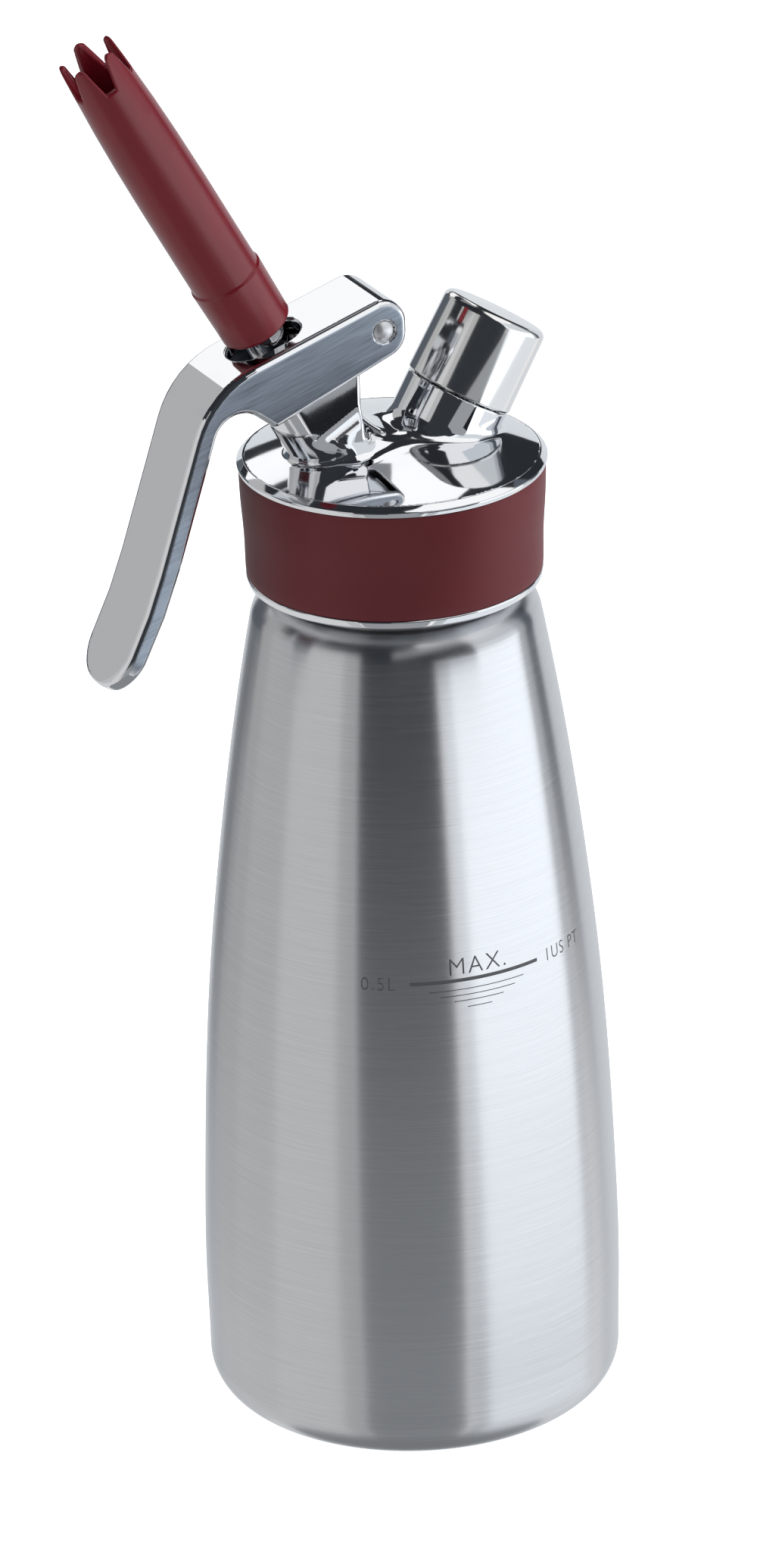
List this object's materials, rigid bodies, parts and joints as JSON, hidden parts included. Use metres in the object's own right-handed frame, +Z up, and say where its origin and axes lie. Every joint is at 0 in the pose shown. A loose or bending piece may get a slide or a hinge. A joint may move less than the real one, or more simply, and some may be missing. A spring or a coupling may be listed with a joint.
{
  "type": "whipped cream dispenser",
  "caption": "Pressure flask for whipping cream, with a screwed head, a squeeze lever over a leaning spring valve, a toothed decorating tip and a capped gas charger neck.",
  "frame": {"origin": "centre of the bottle's foot, on the plane that it stands on", "axes": "+Z up along the bottle's axis, -X towards the tip and the lever's grip, +X towards the charger cap"},
  "size_m": [0.1077, 0.083, 0.2937],
  "materials": {
    "brushed_bottle": "fine brushing round the bottle",
    "polished_head": "mirror polish",
    "polished_cap": "mirror polish",
    "polished_lever": "polished top, brushed sides",
    "pin_steel": "turned and polished",
    "turned_steel": "turned",
    "spring_steel": "drawn wire",
    "brass": "turned",
    "red_silicone": "matte moulded silicone",
    "red_plastic": "smooth moulded",
    "seal_rubber": "moulded"
  },
  "bodies": {
    "bottle": {"bottle": "brushed_bottle"},
    "gasket": {"head_gasket": "seal_rubber"},
    "head": {"head_body": "polished_head", "grip_ring": "red_silicone", "valve_bush": "turned_steel", "stem_seal": "seal_rubber", "valve_spring": "spring_steel", "lever_pin": "pin_steel", "piercing_pin": "brass", "charger_seal": "seal_rubber", "check_plug": "brass", "check_spring": "spring_steel"},
    "lever": {"lever": "polished_lever"},
    "stem": {"valve_stem": "turned_steel", "poppet_seal": "seal_rubber", "poppet_nut": "turned_steel"},
    "tip_slide": {"tip_insert": "turned_steel"},
    "tip": {"decorator_tip": "red_plastic"},
    "cap_slide": {"cap_seal": "seal_rubber"},
    "cap": {"charger_cap": "polished_cap"},
    "check_disc": {"check_disc": "seal_rubber"}
  },
  "joints": [
    {"name": "head_rise", "type": "slide", "parent": "bottle", "child": "gasket", "axis": [0, 0, 1], "range_m": [0, 0.0106]},
    {"name": "head_turn", "type": "hinge", "parent": "gasket", "child": "head", "pos_m": [0, 0, 0.19], "axis": [0, 0, 1], "range_deg": [0, 1080]},
    {"name": "lever_squeeze", "type": "hinge", "parent": "head", "child": "lever", "pos_m": [-0.0053, 0, 0.228], "axis": [0, -1, 0], "range_deg": [0, 12.4], "stiffness_Nm_per_rad": 0.95, "springref_deg": -5.73},
    {"name": "stem_press", "type": "slide", "parent": "head", "child": "stem", "axis": [0.4848, 0, -0.8746], "range_m": [0, 0.0032], "deforming": ["valve_spring"]},
    {"name": "tip_rise", "type": "slide", "parent": "stem", "child": "tip_slide", "axis": [-0.4848, 0, 0.8746], "range_m": [0, 0.01]},
    {"name": "tip_turn", "type": "hinge", "parent": "tip_slide", "child": "tip", "pos_m": [-0.0103, 0, 0.1989], "axis": [-0.4848, 0, 0.8746], "range_deg": [0, 2880]},
    {"name": "cap_rise", "type": "slide", "parent": "head", "child": "cap_slide", "axis": [0.5075, 0, 0.8616], "range_m": [0, 0.0135]},
    {"name": "cap_turn", "type": "hinge", "parent": "cap_slide", "child": "cap", "pos_m": [0.0085, 0, 0.1989], "axis": [0.5075, 0, 0.8616], "range_deg": [0, 3240]},
    {"name": "check_lift", "type": "slide", "parent": "head", "child": "check_disc", "axis": [-0.5075, 0, -0.8616], "range_m": [0, 0.001], "stiffness_N_per_m": 30, "springref_m": -0.001, "deforming": ["check_spring"]}
  ],
  "couplings": [
    {"joint": "head_rise", "follows": "head_turn", "m_per_rad": 0.00055704},
    {"joint": "stem_press", "follows": "lever_squeeze", "m_per_rad": 0.01473},
    {"joint": "tip_turn", "follows": "tip_rise", "rad_per_m": 5026.5},
    {"joint": "cap_turn", "follows": "cap_rise", "rad_per_m": 4188.7}
  ]
}
